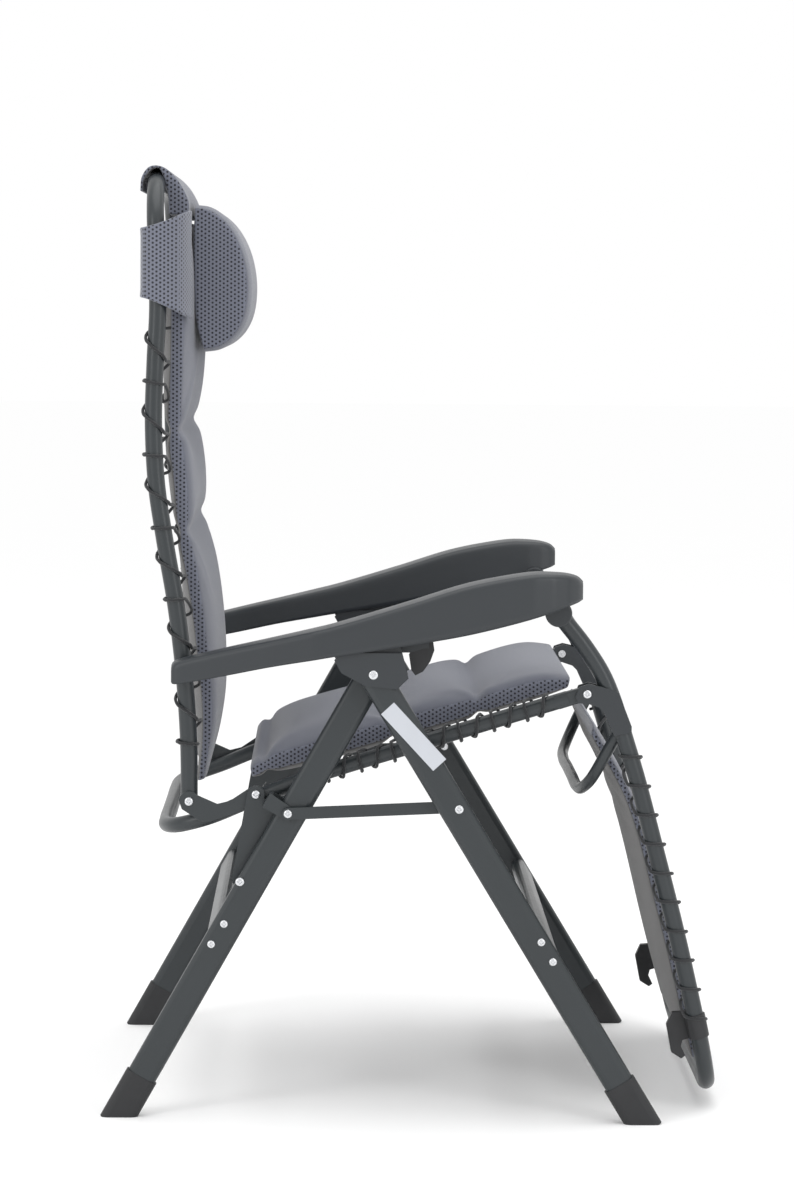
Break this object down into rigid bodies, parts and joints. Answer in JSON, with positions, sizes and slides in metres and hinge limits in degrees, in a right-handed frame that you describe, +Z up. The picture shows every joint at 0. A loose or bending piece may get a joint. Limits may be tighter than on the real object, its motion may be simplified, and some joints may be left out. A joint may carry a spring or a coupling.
{
  "type": "zero gravity recliner",
  "caption": "Folding recliner with a bent tube frame, crossed legs, moulded armrests, padded laced sling, raised footrest and head pillow.",
  "frame": {"origin": "on the floor, under the middle of the chair", "axes": "+X forward to the footrest, +Y to the sitter's left, +Z up"},
  "size_m": [0.792, 0.674, 1.205],
  "materials": {
    "frame_paint": "satin",
    "moulded_plastic": "satin",
    "black_plastic": "matte",
    "zinc": "polished",
    "pad_fabric": "matte",
    "mesh_fabric": "matte",
    "elastic_cord": "matte"
  },
  "bodies": {
    "rear_legs": {"rear_leg_right": "frame_paint", "rear_leg_left": "frame_paint", "rear_foot_cap_right": "black_plastic", "rear_foot_cap_left": "black_plastic", "leg_bracket_right": "moulded_plastic", "leg_bracket_left": "moulded_plastic", "leg_pin_right": "zinc", "leg_pin_left": "zinc", "crank_pin_right": "zinc", "crank_pin_left": "zinc", "rear_crossbar": "frame_paint"},
    "front_legs": {"front_leg_right": "frame_paint", "front_leg_left": "frame_paint", "front_foot_cap_right": "black_plastic", "front_foot_cap_left": "black_plastic", "strut_front_pin_right": "zinc", "strut_front_pin_left": "zinc", "front_crossbar": "frame_paint"},
    "struts": {"strut_right": "frame_paint", "strut_left": "frame_paint", "strut_rear_pin_right": "zinc", "strut_rear_pin_left": "zinc"},
    "cranks": {"crank_right": "frame_paint", "crank_left": "frame_paint", "seat_pin_right": "zinc", "seat_pin_left": "zinc"},
    "seat": {"seat_frame": "frame_paint", "seat_pad": "pad_fabric", "seat_lacing_right": "elastic_cord", "seat_lacing_left": "elastic_cord", "back_pin_right": "zinc", "back_pin_left": "zinc", "foot_pin_right": "zinc", "foot_pin_left": "zinc"},
    "back": {"back_frame": "frame_paint", "back_pad": "pad_fabric", "top_hood": "pad_fabric", "back_lacing_right": "elastic_cord", "back_lacing_left": "elastic_cord", "arm_rear_pin_right": "zinc", "arm_rear_pin_left": "zinc"},
    "armrests": {"armrest_right": "moulded_plastic", "armrest_left": "moulded_plastic", "arm_front_pin_right": "zinc", "arm_front_pin_left": "zinc"},
    "footrest": {"foot_frame": "frame_paint", "loop_bar": "frame_paint", "foot_fabric": "pad_fabric", "foot_bracket_right": "moulded_plastic", "foot_bracket_left": "moulded_plastic", "fold_clip_right": "black_plastic", "fold_clip_left": "black_plastic", "foot_lacing_right": "elastic_cord", "foot_lacing_left": "elastic_cord"},
    "lever_right": {"release_lever_right": "black_plastic"},
    "lever_left": {"release_lever_left": "black_plastic"},
    "pillow": {"head_pillow": "pad_fabric", "pillow_strap": "mesh_fabric"}
  },
  "joints": [
    {"name": "fold", "type": "hinge", "parent": "rear_legs", "child": "front_legs", "pos_m": [-0.0538, 0, 0.57], "axis": [0, -1, 0], "range_deg": [-50, 0]},
    {"name": "strut_turn", "type": "hinge", "parent": "front_legs", "child": "struts", "pos_m": [0.0552, 0, 0.401], "axis": [0, -1, 0], "range_deg": [0, 60.9]},
    {"name": "crank_turn", "type": "hinge", "parent": "rear_legs", "child": "cranks", "pos_m": [-0.2198, 0, 0.303], "axis": [0, -1, 0], "range_deg": [0, 110.9]},
    {"name": "seat_fold", "type": "hinge", "parent": "cranks", "child": "seat", "pos_m": [-0.2008, 0, 0.411], "axis": [0, -1, 0], "range_deg": [-90.7, 0]},
    {"name": "recline", "type": "hinge", "parent": "seat", "child": "back", "pos_m": [-0.2858, 0, 0.401], "axis": [0, -1, 0], "range_deg": [0, 25.45]},
    {"name": "arm_tilt", "type": "hinge", "parent": "back", "child": "armrests", "pos_m": [-0.2918, 0, 0.565], "axis": [0, -1, 0], "range_deg": [-31.21, 0]},
    {"name": "foot_lift", "type": "hinge", "parent": "seat", "child": "footrest", "pos_m": [0.2182, 0, 0.541], "axis": [0, -1, 0], "range_deg": [0, 49.27]},
    {"name": "lever_pull_right", "type": "hinge", "parent": "rear_legs", "child": "lever_right", "pos_m": [0.0082, 0, 0.611], "axis": [0, -1, 0], "range_deg": [0, 14], "stiffness_Nm_per_rad": 0.5},
    {"name": "lever_pull_left", "type": "hinge", "parent": "rear_legs", "child": "lever_left", "pos_m": [0.0082, 0, 0.611], "axis": [0, -1, 0], "range_deg": [0, 14], "stiffness_Nm_per_rad": 0.5},
    {"name": "pillow_height", "type": "slide", "parent": "back", "child": "pillow", "axis": [0, 0, 1], "range_m": [0, 0.03]}
  ],
  "couplings": [
    {"joint": "crank_turn", "follows": "fold", "ratio": -2.196},
    {"joint": "strut_turn", "follows": "fold", "ratio": -1.206},
    {"joint": "seat_fold", "follows": "fold", "ratio": 1.796},
    {"joint": "arm_tilt", "follows": "recline", "ratio": -1.2142},
    {"joint": "foot_lift", "follows": "recline", "ratio": 1.9167}
  ]
}
